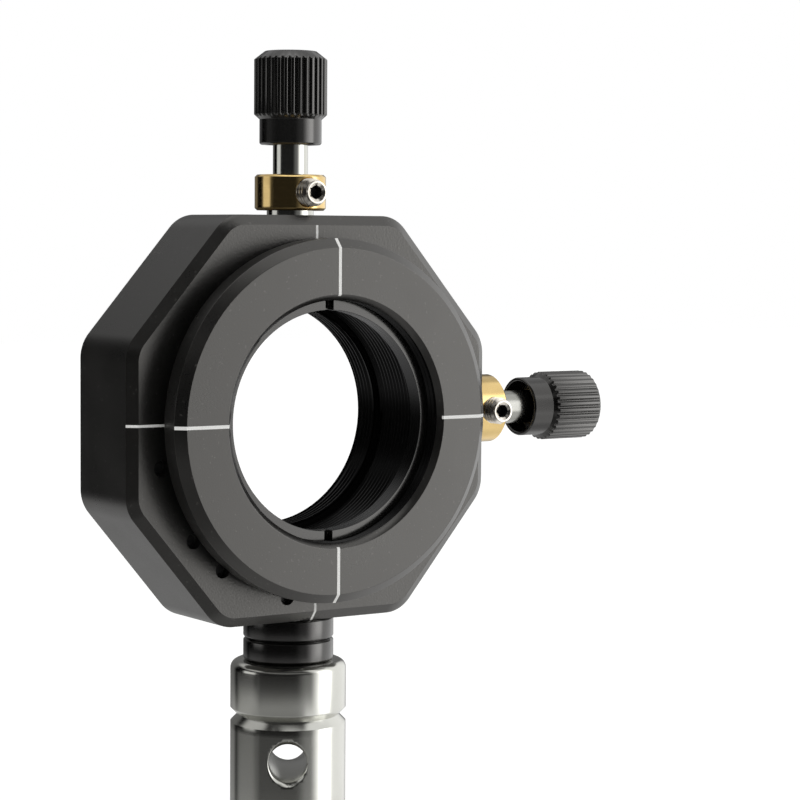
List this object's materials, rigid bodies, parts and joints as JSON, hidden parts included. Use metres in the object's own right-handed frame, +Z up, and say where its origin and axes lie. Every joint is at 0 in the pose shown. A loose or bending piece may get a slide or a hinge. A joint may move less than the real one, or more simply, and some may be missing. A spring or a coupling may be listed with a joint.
{
  "type": "optical lens mount",
  "caption": "Translating lens mount: octagonal black housing, threaded ring cell moved sideways and up or down by fluted adjusters with brass locking collars, on a steel post.",
  "frame": {"origin": "on the optical axis at the housing's mid-plane, where the axes of both adjusters and of the post meet it", "axes": "+X towards the side adjuster, +Y along the optical axis from the front to the back, +Z up towards the top adjuster"},
  "size_m": [0.0637, 0.0165, 0.1062],
  "materials": {
    "black_anodised": "fine bead-blasted black anodising",
    "dark_anodised": "turned and black anodised",
    "white_fill": "matt white paint fill",
    "blackened_steel": "blackened",
    "spring_steel": "rolled",
    "ground_steel": "ground and polished",
    "brass": "turned, bright",
    "bearing_bronze": "lapped",
    "nickelled_steel": "nickel plated",
    "stainless_steel": "finely turned and polished"
  },
  "bodies": {
    "mount_frame": {"housing": "black_anodised", "housing_lines": "white_fill", "rear_cover": "black_anodised", "cover_screws": "blackened_steel", "spring_pins": "blackened_steel", "lower_leaf_spring": "spring_steel", "side_leaf_spring": "spring_steel", "top_sleeve": "ground_steel", "side_sleeve": "ground_steel", "top_collar": "brass", "side_collar": "brass", "top_lock_screw": "nickelled_steel", "side_lock_screw": "nickelled_steel", "stud": "ground_steel", "upper_spacer": "dark_anodised", "lower_spacer": "dark_anodised", "post": "stainless_steel"},
    "cross_carriage": {"cross_slide": "bearing_bronze"},
    "lens_stage": {"lens_cell": "black_anodised", "cell_lines": "white_fill", "retaining_ring": "black_anodised", "slide_ring": "dark_anodised", "top_pad": "ground_steel", "side_pad": "ground_steel"},
    "side_feed": {"side_tip_ball": "ground_steel"},
    "side_spindle": {"side_screw": "ground_steel", "side_knob": "dark_anodised"},
    "top_feed": {"top_tip_ball": "ground_steel"},
    "top_spindle": {"top_screw": "ground_steel", "top_knob": "dark_anodised"}
  },
  "joints": [
    {"name": "side_slide", "type": "slide", "parent": "mount_frame", "child": "cross_carriage", "axis": [1, 0, 0], "range_m": [-0.001, 0.001], "deforming": ["side_leaf_spring", "lower_leaf_spring"]},
    {"name": "height_slide", "type": "slide", "parent": "cross_carriage", "child": "lens_stage", "axis": [0, 0, 1], "range_m": [-0.001, 0.001], "deforming": ["side_leaf_spring", "lower_leaf_spring"]},
    {"name": "side_screw_feed", "type": "slide", "parent": "mount_frame", "child": "side_feed", "axis": [1, 0, 0], "range_m": [-0.001, 0.001]},
    {"name": "side_knob_turn", "type": "hinge", "parent": "side_feed", "child": "side_spindle", "pos_m": [0.035, 0, 0], "axis": [1, 0, 0], "range_deg": [-1440, 1440]},
    {"name": "top_screw_feed", "type": "slide", "parent": "mount_frame", "child": "top_feed", "axis": [0, 0, 1], "range_m": [-0.001, 0.001]},
    {"name": "top_knob_turn", "type": "hinge", "parent": "top_feed", "child": "top_spindle", "pos_m": [0, 0, 0.035], "axis": [0, 0, 1], "range_deg": [-1440, 1440]}
  ],
  "couplings": [
    {"joint": "side_screw_feed", "follows": "side_slide", "ratio": 1},
    {"joint": "side_knob_turn", "follows": "side_slide", "rad_per_m": 25133},
    {"joint": "top_screw_feed", "follows": "height_slide", "ratio": 1},
    {"joint": "top_knob_turn", "follows": "height_slide", "rad_per_m": 25133}
  ]
}
